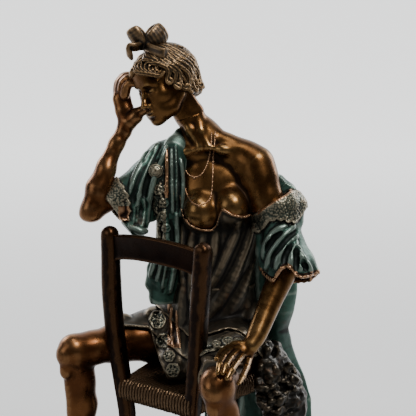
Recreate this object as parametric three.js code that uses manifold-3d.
// Bronze statuette of a seated figure: a woman in a loose robe sits astride a small rush-seated chair,
// facing its back, on a stone plinth. Millimetres, +Z up, origin at the centre of the underside.
// The figure faces -Y; her right side is towards -X.
import * as THREE from "three";
import { mergeVertices } from "three/addons/utils/BufferGeometryUtils.js";
import Module from "manifold-3d";

const wasm = await Module();
wasm.setup();

// ---------------------------------------------------------------- driving dimensions
const GAP = 0.3; // joint line between neighbouring castings
const FELT_T = 3.0; // felt pad thickness
const FELT_R = 9.0;
const FELT_X = 74, FELT_Y = 66;
const PLINTH = { x: 176, y: 160, z0: 3.0, z1: 27.0, chamfer: 2.0 };
const FLOOR = PLINTH.z1; // top of the plinth
const CHAIR_X = -5.6; // the chair's mid plane
const POST_BOTTOM = 24.2, POST_TOP = 35.0; // half spacing of the back posts
// the posts bow outward above the seat: [height, half spacing, half thickness], her right post more than the left
const POST_BOW_RIGHT = [[96, 24.6, 4.8], [122, 26.8, 5.1], [139, 29.6, 5.3], [155, 32.4, 5.5], [170, 34.0, 5.6], [192, 34.9, 5.6]];
const POST_BOW_LEFT = [[96, 24.3, 4.7], [122, 25.4, 4.9], [139, 27.2, 5.0], [155, 29.0, 5.1], [170, 30.4, 5.2], [192, 32.2, 5.3]];
const POST_Y_SEAT = -26.3, POST_Y_TOP = -28.2;
const POST_Z_TOP = 233.0, SEAT_TOP = 133.0, SEAT_T = 12.0;
const LEG_X = 34.0, LEG_Y = 48.0; // front legs, half spacing and position
const STUD_R = 2.0, STUD_HOLE_R = 2.5, CBORE_R = 7.0, CBORE_D = 9.0;

const V = (x, y, z) => new THREE.Vector3(x, y, z);

// body landmarks
const HIP_R = V(-25.6, 28, 148), HIP_L = V(14.4, 28, 148);
const KNEE_R = V(-59, -42.3, 151), KNEE_L = V(52.0, -45.8, 154.0);
const ANKLE_R = V(-65.5, -33.5, 48), ANKLE_L = V(54.5, -37, 48);
const SHO_L = V(27.1, 31.5, 268), SHO_R = V(-26.5, 13.2, 266);
const ELB_R = V(-51.5, -31, 242), WRI_R = V(-45, -9.4, 289.5);
const ELB_L = V(54.2, 25.0, 212), WRI_L = V(50.2, -14.7, 168.5);
const NECK = V(-10, 22.5, 279), HEAD = V(-22.5, 12, 316);

// ---------------------------------------------------------------- solids
function solid(geometry) {
  const g = geometry.index ? geometry.toNonIndexed() : geometry.clone();
  const bare = new THREE.BufferGeometry().setAttribute("position", g.getAttribute("position"));
  const m = mergeVertices(bare, 1e-4);
  const s = new wasm.Manifold(new wasm.Mesh({
    numProp: 3,
    vertProperties: new Float32Array(m.attributes.position.array),
    triVerts: new Uint32Array(m.index.array),
  }));
  if (s.volume() < 0) throw new Error("inside out");
  return s;
}
function geometryOf(s) {
  const m = s.getMesh(), n = m.numProp;
  const p = new Float32Array(m.numVert * 3);
  for (let i = 0; i < m.numVert; i++) p.set(m.vertProperties.subarray(i * n, i * n + 3), i * 3);
  const g = new THREE.BufferGeometry().setAttribute("position", new THREE.BufferAttribute(p, 3));
  g.setIndex(new THREE.BufferAttribute(new Uint32Array(m.triVerts), 1));
  const flat = g.toNonIndexed();
  flat.computeVertexNormals();
  return flat;
}
// the largest body, so that a boolean never leaves crumbs
function largest(s) {
  const parts = s.decompose();
  return parts.reduce((a, b) => (b.volume() > a.volume() ? b : a));
}
const union = (...list) => list.reduce((a, b) => a.add(b));
const cut = (a, ...list) => list.reduce((x, y) => x.subtract(y), a);

// A tube through points with an elliptic section at each: rows are [x, y, z, a, b, turn]. `side` fixes the
// direction of half-width a, swung by `turn` degrees about +Z; b is square to it. n sides, m steps, domed ends unless flat is set.
// grow thickens it evenly; power squares the section up.
function loft(rows, { side = V(1, 0, 0), n = 12, m = 8, flat = [false, false], grow = 0, power = 2, fold = null } = {}) {
  const curve = new THREE.CatmullRomCurve3(rows.map((r) => V(r[0], r[1], r[2])), false, "centripetal");
  const k = rows.length - 1;
  const at = (t, i) => { // monotone blend of the section sizes
    const x = Math.min(Math.max(t, 0), 1) * k, j = Math.min(Math.floor(x), k - 1), f = x - j;
    const s = f * f * (3 - 2 * f);
    return (rows[j][i] || 0) * (1 - s) + (rows[j + 1][i] || 0) * s;
  };
  const g = new THREE.SphereGeometry(1, n, m + 4); // its rings and poles are moved onto the tube
  const pos = g.attributes.position;
  const rings = m + 4;
  const uv = g.attributes.uv;
  const row = [];
  for (let i = 0; i <= rings; i++) {
    let t, scale = 1, out = 0;
    if (i < 2) { t = 0; scale = [0, 0.74][i]; out = flat[0] ? 0 : Math.sqrt(1 - scale * scale); }
    else if (i > rings - 2) { t = 1; scale = [0, 0.74][rings - i]; out = flat[1] ? 0 : Math.sqrt(1 - scale * scale); }
    else t = (i - 2) / (rings - 4);
    const c = curve.getPoint(t), T = curve.getTangent(t).normalize();
    const lead = side.clone().applyAxisAngle(V(0, 0, 1), (at(t, 5) * Math.PI) / 180);
    const A = lead.clone().addScaledVector(T, -lead.dot(T)).normalize();
    const B = T.clone().cross(A);
    const a = at(t, 3) + grow, b = at(t, 4) + grow;
    const low = i < 3, high = i > rings - 3;
    const reach = Math.min(a, b) * out * (low ? -1 : 1) + (low && flat[0] ? -grow : high && flat[1] ? grow : 0);
    c.addScaledVector(T, reach);
    row.push({ c, A, B, a: a * scale, b: b * scale, t });
  }
  for (let i = 0; i < pos.count; i++) {
    const ring = Math.round((1 - uv.getY(i)) * rings);
    const seg = Math.round(uv.getX(i) * n) % n;
    const r = row[ring];
    if (ring === 0 || ring === rings) { pos.setXYZ(i, r.c.x, r.c.y, r.c.z); continue; }
    const th = (seg / n) * Math.PI * 2;
    let x = Math.cos(th), y = Math.sin(th);
    const q = Math.pow(Math.pow(Math.abs(x), power) + Math.pow(Math.abs(y), power), -1 / power);
    const w = fold ? 1 + fold(th, r.t) : 1;
    x *= q * r.a * w; y *= q * r.b * w;
    pos.setXYZ(i, r.c.x + r.A.x * x + r.B.x * y, r.c.y + r.A.y * x + r.B.y * y, r.c.z + r.A.z * x + r.B.z * y);
  }
  g.deleteAttribute("normal"); g.deleteAttribute("uv");
  // the sphere's rows run the other way round, so turn the faces if they point in
  const m0 = mergeVertices(g.toNonIndexed(), 1e-4);
  let vol = 0;
  const P = m0.attributes.position, I = m0.index.array, a = V(), b = V(), c = V();
  for (let i = 0; i < I.length; i += 3) {
    a.fromBufferAttribute(P, I[i]); b.fromBufferAttribute(P, I[i + 1]); c.fromBufferAttribute(P, I[i + 2]);
    vol += a.dot(b.cross(c));
  }
  if (vol < 0) for (let i = 0; i < I.length; i += 3) [I[i + 1], I[i + 2]] = [I[i + 2], I[i + 1]];
  return solid(m0);
}
// an ellipsoid, optionally turned by Euler angles in degrees
function ball(c, r, grow = 0, turn = [0, 0, 0], w = 12, h = 7) {
  const g = new THREE.SphereGeometry(1, w, h);
  g.scale(r[0] + grow, r[1] + grow, r[2] + grow);
  g.applyMatrix4(new THREE.Matrix4().makeRotationFromEuler(new THREE.Euler(...turn.map((d) => (d * Math.PI) / 180))));
  g.translate(c.x, c.y, c.z);
  return solid(g);
}
// an upright or leaning rod
function rod(p, q, r, sides = 12, r2 = r) {
  const d = q.clone().sub(p);
  const g = new THREE.CylinderGeometry(r2, r, d.length(), sides);
  g.applyQuaternion(new THREE.Quaternion().setFromUnitVectors(V(0, 1, 0), d.clone().normalize()));
  g.translate((p.x + q.x) / 2, (p.y + q.y) / 2, (p.z + q.z) / 2);
  return solid(g);
}
function box(x0, y0, z0, x1, y1, z1) {
  const g = new THREE.BoxGeometry(x1 - x0, y1 - y0, z1 - z0);
  g.translate((x0 + x1) / 2, (y0 + y1) / 2, (z0 + z1) / 2);
  return solid(g);
}
// a big slab on the far side of a plane through p with normal n
function beyond(p, n, size = 300) {
  const g = new THREE.BoxGeometry(size, size, size);
  g.translate(0, 0, size / 2);
  g.applyQuaternion(new THREE.Quaternion().setFromUnitVectors(V(0, 0, 1), n.clone().normalize()));
  g.translate(p.x, p.y, p.z);
  return solid(g);
}
const lerp = (p, q, t) => p.clone().lerp(q, t);
const rowOf = (p, a, b) => [p.x, p.y, p.z, a, b];

// ---------------------------------------------------------------- the chair
function backPost(sx, grow = 0) {
  const bow = (sx < 0 ? POST_BOW_RIGHT : POST_BOW_LEFT);
  const yAt = (z) => POST_Y_SEAT + (POST_Y_TOP - POST_Y_SEAT) * Math.max(0, (z - 118) / (POST_Z_TOP - 118));
  return loft([
    [CHAIR_X + sx * POST_BOTTOM, POST_Y_SEAT, FLOOR + GAP, 4.0, 4.0],
    [CHAIR_X + sx * POST_BOTTOM, POST_Y_SEAT, 70, 4.5, 4.5],
    ...bow.map(([z, x, h]) => [CHAIR_X + sx * x, yAt(z), z, h, h]),
    [CHAIR_X + sx * POST_TOP, POST_Y_TOP, POST_Z_TOP - 4.2, 5.1, 5.1],
  ], { n: 12, m: 11, flat: [true, false], power: 3.2, grow });
}
function frontLeg(sx, grow = 0) {
  const p = [[0, 0], [3.4, 0], [3.8, 3], [3.4, 6], [4.2, 45], [4.2, 78], [4.9, 84], [4.9, 93.4], [0, 93.4]]
    .map(([r, z]) => new THREE.Vector2(r > 0 ? r + grow : 0, z));
  const g = new THREE.LatheGeometry(p, 12);
  g.rotateX(Math.PI / 2);
  g.translate(CHAIR_X + sx * LEG_X, LEG_Y, FLOOR + GAP);
  return solid(g);
}
function seat(grow = 0) {
  const rw = POST_BOTTOM + 3.5, fw = LEG_X + 5.5, y0 = -31, y1 = LEG_Y + 5.5, b = 4.5;
  const s = new THREE.Shape();
  const P = [[-rw, y0], [rw, y0], [fw, y1], [-fw, y1]].map(([x, y]) => [x * (1 - b / 32), y === y0 ? y0 + b : y1 - b]);
  s.moveTo(...P[0]); s.lineTo(...P[1]); s.lineTo(...P[2]); s.lineTo(...P[3]); s.closePath();
  const g = new THREE.ExtrudeGeometry(s, {
    depth: SEAT_T - 2 * b + 2 * grow, steps: 1, bevelEnabled: true,
    bevelThickness: b, bevelSize: b + grow, bevelSegments: 2,
  });
  g.translate(CHAIR_X, 0, SEAT_TOP - SEAT_T + b - grow);
  return solid(g);
}
function topRail(grow = 0) {
  const s = new THREE.Shape(), L = 34, arch = 4.2, h = 15.5, z0 = 225.5;
  const N = 14;
  for (let i = 0; i <= N; i++) {
    const x = -L + (2 * L * i) / N, u = x / L;
    s[i ? "lineTo" : "moveTo"](x, z0 + arch * (1 - u * u) + grow);
  }
  for (let i = N; i >= 0; i--) {
    const x = -L + (2 * L * i) / N, u = x / L;
    s.lineTo(x, z0 - h + arch * 0.9 * (1 - u * u) - 3.4 * Math.pow(Math.abs(u), 6) - grow);
  }
  s.closePath();
  const g = new THREE.ExtrudeGeometry(s, { depth: 4.4 + 2 * grow, steps: 1, bevelEnabled: false });
  g.rotateX(Math.PI / 2); // the shape's y becomes z, its depth runs to -y
  const p = g.attributes.position;
  for (let i = 0; i < p.count; i++) {
    const x = p.getX(i), u = x / L;
    p.setXYZ(i, x + CHAIR_X, p.getY(i) + 2.2 + grow + POST_Y_TOP - 3.0 * (1 - u * u) + 0.6, p.getZ(i));
  }
  return solid(g);
}
const stretch = (p, q, r = 2.5) => {
  const m = lerp(p, q, 0.5);
  return loft([rowOf(p, r * 0.8, r * 0.8), rowOf(m, r * 1.12, r * 1.12), rowOf(q, r * 0.8, r * 0.8)],
    { side: V(0, 0, 1), n: 8, m: 4, flat: [true, true] });
};

const postL = backPost(-1), postR = backPost(1); // as seen facing +Y: -X and +X
const postsG = union(backPost(-1, GAP), backPost(1, GAP));
const legsG = union(frontLeg(-1, GAP), frontLeg(1, GAP));
const footOf = {
  chair_back_post_right: V(CHAIR_X - POST_BOTTOM, POST_Y_SEAT, FLOOR),
  chair_back_post_left: V(CHAIR_X + POST_BOTTOM, POST_Y_SEAT, FLOOR),
  chair_front_leg_right: V(CHAIR_X - LEG_X, LEG_Y, FLOOR),
  chair_front_leg_left: V(CHAIR_X + LEG_X, LEG_Y, FLOOR),
};
const studHole = (p, r, z0, z1) => rod(V(p.x, p.y, z0), V(p.x, p.y, z1), r, 12);

// ---------------------------------------------------------------- the figure's body, by size only
function thigh(hip, knee, grow, end = 1) {
  const rows = [0, 0.22, 0.5, 0.78, 1].map((t) => {
    const p = lerp(hip, knee, t * end), u = t * end;
    const r = 17.5 * (1 - u) + 10.2 * u + 1.4 * Math.sin(Math.PI * u);
    return rowOf(p.add(V(0, 0, 2.2 * Math.sin(Math.PI * u))), r, r * (0.93 + 0.07 * u));
  });
  return loft(rows, { n: 12, m: 5, grow });
}
function shin(knee, ankle, grow) {
  const rows = [[0, 9.8, 10.2], [0.16, 8.9, 9.2], [0.34, 8.8, 9.5], [0.6, 7.3, 7.8], [0.84, 5.4, 5.6], [1, 5.0, 5.6]].map(([t, a, b]) => {
    const p = lerp(knee, ankle, t);
    p.y += 3.6 * Math.sin(Math.PI * Math.min(1, t * 1.15)) * (1 - 0.3 * t); // the calf sets back
    return rowOf(p, a, b);
  });
  return loft(rows, { n: 12, m: 7, grow });
}
function shoe(ankle, out, grow) {
  const f = V(out, -1, 0).normalize(), a = V(ankle.x, ankle.y, FLOOR + GAP);
  const at = (s, z) => a.clone().addScaledVector(f, s).add(V(0, 0, z));
  const body = loft([
    rowOf(at(-7, 12.6), 5.0, 6.6), rowOf(at(2, 12.0), 6.4, 7.6), rowOf(at(14, 8.6), 6.6, 6.4),
    rowOf(at(26, 5.2), 7.6, 4.8), rowOf(at(36, 3.9), 5.0, 3.4),
  ], { side: V(0, 0, 1).cross(f), n: 10, m: 6, grow });
  const heel = rod(at(-7, 0), at(-5.5, 9), 3.6 + grow, 8, 4.6 + grow);
  const neck = loft([rowOf(at(-1, 12), 5.6, 6.4), rowOf(ankle.clone().add(V(0, 0, 4)), 4.9, 5.3)], { n: 10, m: 2, grow });
  const under = box(-200, -200, 0, 200, 200, FLOOR + GAP);
  return cut(union(body, heel, neck), under);
}
function legSolid(hip, knee, ankle, out, grow = 0) {
  return union(thigh(hip, knee, grow), ball(knee.clone().add(V(0, -0.8, 0.6)), [10.5, 10.7, 10.9], grow), shin(knee, ankle, grow), shoe(ankle, out, grow));
}
function torsoSolid(grow = 0) {
  const trunk = loft([
    [-5.6, 30, 143, 31, 20, 0], [-5.5, 30, 158, 32, 20, 2], [-3.0, 28, 178, 27, 17, 8], [1.0, 25.5, 198, 22.5, 15.5, 17],
    [4.0, 23.5, 220, 24.5, 16, 26], [5.2, 22.5, 242, 27, 15.5, 31], [2.5, 23, 259, 28, 12.5, 24], [-1.0, 23, 270, 20, 10, 20],
  ], { n: 16, m: 10, grow });
  const caps = union(
    ball(SHO_L, [11.2, 10.8, 11.6], grow), ball(SHO_R, [10.8, 10.6, 11.4], grow),
    loft([[-6, 23.5, 282, 8.5, 8], [10, 27.2, 275.5, 9.5, 9], [24, 31.0, 270.5, 10.5, 10.5]], { side: V(0, 0, 1), n: 12, m: 4, grow }),
    loft([[-8, 22, 281, 8.5, 8], [-16.5, 17.8, 274, 9.2, 9], [-24.5, 14.2, 268.5, 10.2, 10.2]], { side: V(0, 0, 1), n: 12, m: 4, grow }),
  );
  const bust = union(ball(V(21.0, 16.5, 243.0), [10.6, 11.4, 11.6], grow, [0, 0, 30]), ball(V(4.6, 7.0, 240.0), [10.6, 11.2, 11.6], grow, [0, 0, 30]));
  const neck = loft([[-5, 23.5, 266, 12, 9.5], [-9.5, 22.3, 279, 8.6, 8.4], [-15.5, 18.3, 297, 7.4, 8.0]], { n: 12, m: 4, grow, flat: [true, true] });
  return cut(union(trunk, caps, bust, neck), box(-200, -200, 0, 200, 200, SEAT_TOP + GAP - grow));
}
function rightArm(grow = 0) {
  const s = lerp(SHO_R, ELB_R, 0.22);
  return union(
    loft([rowOf(s, 8.6, 8.4), rowOf(lerp(SHO_R, ELB_R, 0.62), 8.0, 7.6), rowOf(lerp(SHO_R, ELB_R, 1.0), 7.6, 7.2)], { n: 12, m: 3, grow, flat: [true, false] }),
    loft([rowOf(ELB_R, 7.4, 7.2), rowOf(lerp(ELB_R, WRI_R, 0.22), 7.0, 6.8), rowOf(lerp(ELB_R, WRI_R, 0.6), 5.9, 5.5), rowOf(WRI_R, 4.3, 3.9)], { n: 12, m: 5, grow }),
  );
}
function rightHand(grow = 0) {
  return union(
    loft([rowOf(WRI_R, 4.2, 3.8), [-46.0, -8.2, 297, 4.0, 6.2], [-45.8, -5.5, 306, 3.2, 7.6], [-44.0, -2.4, 314, 2.8, 7.4]], { side: V(1, 0.2, 0), n: 10, m: 5, grow }),
    loft([[-44.2, -3.2, 312, 2.8, 7.2], [-40.5, -1.0, 321, 2.4, 6.6], [-36.0, 1.2, 328, 2.0, 5.2]], { side: V(1, 0.2, 0), n: 10, m: 3, grow }),
    loft([[-45.6, -11.5, 298, 2.8, 2.8], [-41.5, -13.8, 301.5, 2.4, 2.4], [-36.0, -14.2, 302.5, 2.0, 2.0]], { side: V(0, 0, 1), n: 8, m: 3, grow }),
  );
}
function leftArm(grow = 0) {
  const s = lerp(SHO_L, ELB_L, 0.16);
  return union(
    loft([rowOf(s, 8.9, 9.0), rowOf(lerp(SHO_L, ELB_L, 0.55), 8.1, 8.2), rowOf(ELB_L, 7.2, 7.2)], { n: 12, m: 4, grow, flat: [true, false] }),
    loft([rowOf(ELB_L, 7.3, 7.3), rowOf(lerp(ELB_L, WRI_L, 0.25), 6.9, 7.0), rowOf(lerp(ELB_L, WRI_L, 0.65), 5.4, 5.7), rowOf(WRI_L, 4.0, 4.8)], { n: 12, m: 5, grow }),
  );
}
function leftHand(grow = 0) {
  const hand = loft([rowOf(WRI_L, 4.6, 3.6), [48.0, -22.0, 170.5, 7.2, 3.2], [45.5, -30.5, 172.6, 8.6, 2.9]], { side: V(1, 0.35, -0.2), n: 10, m: 4, grow });
  const finger = (a, b, c) => loft([[...a, 2.1, 2.1], [...b, 2.0, 2.0], [...c, 1.7, 1.7]], { side: V(1, 0, 0), n: 6, m: 2, grow });
  return union(hand,
    finger([39.5, -27.5, 172.6], [37.6, -33.5, 172.4], [36.6, -39.0, 170.6]),
    finger([43.2, -30.0, 173.2], [41.6, -37.0, 172.6], [40.6, -43.5, 170.0]),
    finger([47.2, -31.0, 173.2], [46.4, -38.5, 172.4], [45.6, -45.6, 169.2]),
    finger([51.2, -30.0, 171.8], [52.4, -37.5, 170.4], [53.0, -44.6, 167.2]),
    finger([41.6, -19.5, 170.4], [37.0, -24.0, 171.4], [34.4, -29.0, 171.0]),
  );
}
function headSolid(grow = 0) {
  const turn = [14, -14, -14];
  return union(
    ball(HEAD.clone().add(V(0.5, 3.5, 4.5)), [18.2, 20.5, 18.6], grow, turn, 16, 10),
    ball(HEAD.clone().add(V(-1.2, -4.5, -7.5)), [12.4, 12.4, 16.5], grow, turn, 14, 9),
    ball(HEAD.clone().add(V(9.0, 15.5, -3.5)), [10.5, 8.5, 9.5], grow, [0, 0, 0], 12, 7),
    loft([[-15.5, 18.3, 297, 7.4, 8.0], [-18.0, 15.5, 305, 8.4, 9.0]], { n: 12, m: 2, grow, flat: [true, false] }),
  );
}
function bowSolid(grow = 0) {
  return union(
    loft([[-31.5, 0.5, 336.5, 2.2, 4.2], [-36.0, -1.5, 343.5, 2.6, 6.6], [-38.2, -2.0, 350.5, 1.8, 4.4]], { side: V(0, 1, 0), n: 10, m: 4, grow }),
    loft([[-30.5, 1.5, 337.5, 2.4, 4.6], [-25.5, 3.0, 344.0, 3.0, 7.4], [-19.5, 4.5, 349.5, 2.2, 5.0]], { side: V(0, 1, 0), n: 10, m: 4, grow }),
    ball(V(-31, 0.6, 337.2), [4.6, 4.2, 4.4], grow, [0, 0, 0], 10, 6),
    loft([[-29, 2.5, 336.5, 2.0, 3.6], [-20, 7, 338.5, 1.6, 4.0], [-12.5, 11, 336.5, 1.4, 2.6]], { side: V(0, 0, 1), n: 8, m: 3, grow }),
  );
}
const neckPlane = V(-14.6, 18.9, 294.5), neckDir = V(-0.29, -0.2, 0.94).normalize();

const torsoWhole = torsoSolid(), torsoG = torsoSolid(GAP);
const armRG = union(rightArm(GAP), rightHand(GAP)), armLG = union(leftArm(GAP), leftHand(GAP));
const legRG = legSolid(HIP_R, KNEE_R, ANKLE_R, -0.34, GAP), legLG = legSolid(HIP_L, KNEE_L, ANKLE_L, 0.3, GAP);
const seatG = seat(GAP);

// ---------------------------------------------------------------- drapery
function rightSleeve(grow = 0) {
  const fold = (th, t) => 0.05 * Math.sin(th * 5 + 2.2 * t) * (0.4 + t);
  return loft([
    [-17.5, 19.5, 271.5, 11.0, 12.0], [-28.0, 11.5, 265.0, 13.4, 14.6], [-38.0, -5.0, 251.5, 14.4, 17.0],
    [-45.0, -15.5, 245.0, 13.4, 15.8], [-47.8, -22.5, 243.2, 12.0, 13.6],
  ], { side: V(1, 0, -0.2), n: 16, m: 7, flat: [false, true], grow, fold });
}
function rightFront(grow = 0) {
  return loft([
    [-14.0, 13.0, 279.0, 6.5, 3.2], [-19.0, 1.0, 263.0, 8.0, 4.2], [-21.5, -2.0, 241.0, 8.6, 5.0], [-23.5, 3.5, 216.0, 8.6, 5.6],
    [-27.0, 9.5, 190.0, 10.0, 6.0], [-34.0, 11.0, 172.5, 12.0, 5.4],
  ], { side: V(1, -0.15, 0), n: 12, m: 8, grow });
}
function leftSleeve(grow = 0) {
  const fold = (th, t) => 0.06 * Math.sin(th * 4 + 1.5 * t) * t;
  return loft([
    [37.5, 29.5, 248.0, 13.0, 13.2], [43.5, 28.0, 238.0, 14.6, 15.2], [49.5, 26.5, 226.0, 13.8, 14.6], [55.0, 22.5, 213.5, 14.8, 15.6],
    [59.0, 17.5, 204.5, 17.0, 17.6],
  ], { side: V(1, 0, 0.2), n: 16, m: 7, flat: [false, true], grow, fold });
}
function robeBack(grow = 0) {
  const fold = (th, t) => 0.05 * Math.sin(th * 9) * t;
  const back = loft([
    [-8.0, 33.0, 264, 17, 5.5, 22], [-1.0, 38.0, 246, 31, 7.5, 18], [4.0, 42.5, 214, 38, 9.0, 8], [7.0, 45.5, 186, 40, 11.5],
    [5.2, 50.0, 158, 38.5, 15.0], [6.0, 58.0, 136, 40, 14.5], [7.6, 65.0, 108, 41.5, 8.5], [7.2, 66.5, 70, 43.5, 7.5], [7.0, 68.0, FLOOR + GAP, 45.5, 8.0],
  ], { n: 22, m: 11, flat: [false, true], grow, fold });
  // the end of the cloth, gathered beside the seat
  const gathered = loft([[42, 42, 156, 5, 8], [47, 32, 148, 8, 14], [51, 27, 138, 10, 17], [55, 27, 127, 10, 15], [58, 31, 118, 8, 9]], { n: 14, m: 5, grow });
  return union(back, gathered);
}
function skirtSolid(grow = 0) {
  return union(
    thigh(HIP_L, KNEE_L, grow + 3.4, 0.8),
    thigh(HIP_R, KNEE_R, grow + 3.2, 0.4),
    loft([[-5.6, 26, 146, 31, 22], [-6, 26, 162, 32.5, 22], [-6.5, 26.5, 178, 28, 19.5], [-6, 26, 190, 25, 17.6]], { n: 16, m: 5, grow }),
    ball(V(-5.6, 2, 143), [19, 26, 12], grow, [0, 0, 0], 14, 8),
  );
}

// ---------------------------------------------------------------- assembly
const root = new THREE.Group();
const bronze = { metalness: 0.9, roughness: 0.38 };
const MAT = {
  skin: new THREE.MeshStandardMaterial({ color: 0x6b4420, ...bronze }),
  green: new THREE.MeshStandardMaterial({ color: 0x2f4a3e, metalness: 0.7, roughness: 0.5 }),
  cloth: new THREE.MeshStandardMaterial({ color: 0x33302a, metalness: 0.75, roughness: 0.48 }),
  chair: new THREE.MeshStandardMaterial({ color: 0x3a2114, metalness: 0.85, roughness: 0.42 }),
  hair: new THREE.MeshStandardMaterial({ color: 0x4a3a26, ...bronze }),
  stone: new THREE.MeshStandardMaterial({ color: 0x15140f, metalness: 0.0, roughness: 0.18 }),
  felt: new THREE.MeshStandardMaterial({ color: 0x1e2a22, metalness: 0.0, roughness: 0.95 }),
  steel: new THREE.MeshStandardMaterial({ color: 0x8a8c8e, metalness: 1.0, roughness: 0.35 }),
  pin: new THREE.MeshStandardMaterial({ color: 0x9a7034, ...bronze }),
};
function place(name, s, material, parent = root) {
  const mesh = new THREE.Mesh(geometryOf(largest(s)), material);
  mesh.name = name;
  parent.add(mesh);
  return mesh;
}
const baseGroup = new THREE.Group(), chairGroup = new THREE.Group(), figureGroup = new THREE.Group();
root.add(baseGroup, chairGroup, figureGroup);

// plinth with a clearance hole and a counterbore under each chair leg
{
  const { x, y, z0, z1, chamfer: c } = PLINTH;
  const s = new THREE.Shape();
  s.moveTo(-x / 2 + c, -y / 2 + c); s.lineTo(x / 2 - c, -y / 2 + c); s.lineTo(x / 2 - c, y / 2 - c); s.lineTo(-x / 2 + c, y / 2 - c); s.closePath();
  const g = new THREE.ExtrudeGeometry(s, { depth: z1 - z0 - 2 * c, steps: 1, bevelEnabled: true, bevelThickness: c, bevelSize: c, bevelSegments: 1 });
  g.translate(0, 0, z0 + c);
  let p = solid(g);
  for (const f of Object.values(footOf)) p = cut(p, studHole(f, STUD_HOLE_R, z0 - 1, z1 + 1), studHole(f, CBORE_R, z0 - 1, z0 + CBORE_D));
  place("plinth", p, MAT.stone, baseGroup);
}
[[-1, -1, "front_right"], [1, -1, "front_left"], [-1, 1, "rear_right"], [1, 1, "rear_left"]].forEach(([sx, sy, n]) => {
  place("felt_pad_" + n, rod(V(sx * FELT_X, sy * FELT_Y, 0), V(sx * FELT_X, sy * FELT_Y, FELT_T - GAP), FELT_R, 20), MAT.felt, baseGroup);
});
// studs, washers and nuts that hold the chair's legs to the plinth
Object.entries(footOf).forEach(([leg, f]) => {
  const n = leg.replace("chair_", "").replace("_post", "").replace("_leg", "");
  const zc = PLINTH.z0 + CBORE_D;
  place("stud_" + n, studHole(f, STUD_R, zc - 5.6, FLOOR + 12), MAT.steel, baseGroup);
  place("washer_" + n, cut(studHole(f, 5.6, zc - GAP - 1, zc - GAP), studHole(f, STUD_R + GAP, 0, 50)), MAT.steel, baseGroup);
  place("nut_" + n, cut(rod(V(f.x, f.y, zc - 2 * GAP - 4.2), V(f.x, f.y, zc - 2 * GAP - 1), 4.05, 6), studHole(f, STUD_R + GAP, 0, 50)), MAT.steel, baseGroup);
});

// chair
const bore = (leg) => studHole(footOf[leg], STUD_R + GAP, FLOOR - 1, FLOOR + 12.6);
place("chair_back_post_right", cut(postL, bore("chair_back_post_right")), MAT.chair, chairGroup);
place("chair_back_post_left", cut(postR, bore("chair_back_post_left")), MAT.chair, chairGroup);
place("chair_front_leg_right", cut(frontLeg(-1), bore("chair_front_leg_right")), MAT.chair, chairGroup);
place("chair_front_leg_left", cut(frontLeg(1), bore("chair_front_leg_left")), MAT.chair, chairGroup);
place("chair_top_rail", cut(topRail(), postsG), MAT.chair, chairGroup);
const screwAt = [V(-19, 30, 0), V(9, 30, 0)];
const seatHoles = union(...screwAt.map((p) => union(studHole(p, 2.3, 100, 140), studHole(p, 4.3, 100, SEAT_TOP - SEAT_T + 3))));
place("chair_seat", cut(seat(), postsG, legsG, seatHoles), MAT.chair, chairGroup);
const F = footOf, Z = (p, z) => V(p.x, p.y, z);
const R = F.chair_back_post_right, L = F.chair_back_post_left, FR = F.chair_front_leg_right, FL = F.chair_front_leg_left;
const wood = union(postsG, legsG);
place("stretcher_back", cut(stretch(Z(R, 72), Z(L, 72)), wood), MAT.chair, chairGroup);
place("stretcher_front", cut(stretch(Z(FR, 72), Z(FL, 72)), wood), MAT.chair, chairGroup);
place("stretcher_right", cut(stretch(Z(R, 60), Z(FR, 60)), wood), MAT.chair, chairGroup);
place("stretcher_left", cut(stretch(Z(L, 60), Z(FL, 60)), wood), MAT.chair, chairGroup);

// figure
const pins = {
  neck_pin: [V(-11.4, 20.6, 286), V(-17.0, 16.6, 304), 2.0],
  shoulder_pin_right: [lerp(SHO_R, ELB_R, -0.02), lerp(SHO_R, ELB_R, 0.36), 2.0],
  shoulder_pin_left: [lerp(SHO_L, ELB_L, -0.04), lerp(SHO_L, ELB_L, 0.3), 2.0],
};
const pinHole = Object.values(pins).map(([a, b, r]) => {
  const d = b.clone().sub(a).normalize();
  return rod(a.clone().addScaledVector(d, -GAP), b.clone().addScaledVector(d, GAP), r + GAP, 12);
});
const pinHoles = union(...pinHole);
Object.entries(pins).forEach(([n, [a, b, r]]) => place(n, rod(a, b, r, 12), MAT.pin, figureGroup));
screwAt.forEach((p, i) => {
  const n = i ? "left" : "right";
  const head = rod(V(p.x, p.y, SEAT_TOP - SEAT_T + 0.2), V(p.x, p.y, SEAT_TOP - SEAT_T + 2.7), 3.9, 12);
  place("seat_screw_" + n, union(head, rod(V(p.x, p.y, SEAT_TOP - SEAT_T + 2), V(p.x, p.y, SEAT_TOP + 8), 2.0, 12)), MAT.steel, figureGroup);
});
const screwBores = union(...screwAt.map((p) => studHole(p, 2.3, 100, SEAT_TOP + 8.3)));
const aboveNeck = beyond(neckPlane.clone().addScaledVector(neckDir, -GAP / 2), neckDir);
const belowNeck = beyond(neckPlane.clone().addScaledVector(neckDir, GAP / 2), neckDir.clone().negate());
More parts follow.
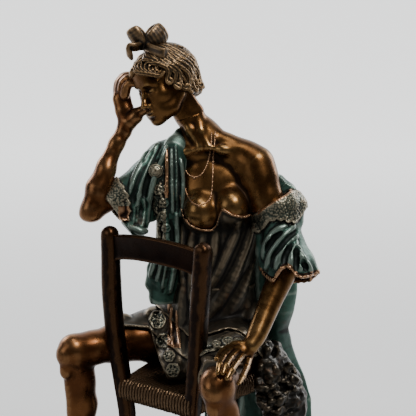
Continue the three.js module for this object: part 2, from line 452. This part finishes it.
const cavity = union(
  loft([[-5.6, 28.5, 152, 26, 14.5, 0], [-4.0, 28.0, 172, 22, 12.8, 6], [1.0, 25.5, 198, 17.5, 11.2, 17], [4.0, 23.5, 220, 20, 12, 26], [5.2, 22.5, 240, 21, 11, 31], [4.0, 22.8, 250, 17, 8, 28]], { n: 10, m: 6 }),
  rod(V(-5.6, 30, 120), V(-5.6, 30, 158), 7, 12),
);
const torsoCut = [screwBores, pinHoles, armRG, armLG, legRG, legLG, aboveNeck];
const headS = cut(headSolid(), belowNeck, armRG, torsoSolid(GAP).subtract(aboveNeck), pinHole[0]);
place("torso", cut(torsoWhole, ...torsoCut, cavity, headSolid(GAP).subtract(belowNeck)), MAT.cloth, figureGroup);
place("head", cut(headS, bowSolid(GAP)), MAT.skin, figureGroup);
place("hair_bow", bowSolid(), MAT.hair, figureGroup);
const railG = topRail(GAP);
place("right_arm", cut(union(rightArm(), rightHand()), pinHoles, postsG, railG), MAT.skin, figureGroup);
place("left_arm", cut(union(leftArm(), leftHand()), pinHoles, skirtSolid(GAP), legLG), MAT.skin, figureGroup);
place("right_leg", cut(legSolid(HIP_R, KNEE_R, ANKLE_R, -0.34), seatG, postsG, screwBores), MAT.skin, figureGroup);
place("left_leg", cut(legSolid(HIP_L, KNEE_L, ANKLE_L, 0.3), seatG, postsG, screwBores), MAT.skin, figureGroup);
const bodyG = union(torsoG, armRG, armLG, legRG, legLG, seatG, postsG, railG, legsG, screwBores, pinHoles);
place("skirt", cut(skirtSolid(), bodyG), MAT.cloth, figureGroup);
const skirtG = skirtSolid(GAP);
place("right_sleeve", cut(rightSleeve(), bodyG, pinHoles, skirtG, headSolid(GAP)), MAT.green, figureGroup);
place("left_sleeve", cut(leftSleeve(), bodyG, skirtG), MAT.green, figureGroup);
const sleevesG = union(rightSleeve(GAP), leftSleeve(GAP));
place("robe_front_right", cut(rightFront(), bodyG, skirtG, sleevesG, headSolid(GAP)), MAT.green, figureGroup);
place("robe_back", cut(robeBack(), bodyG, skirtG, sleevesG, rightFront(GAP), box(-200, -200, 0, 200, 200, FLOOR + GAP),
  loft([rowOf(Z(FR, 72), 3.5, 3.5), rowOf(Z(FL, 72), 3.5, 3.5)], { side: V(0, 0, 1), n: 8, m: 2 })), MAT.green, figureGroup);

export default root;
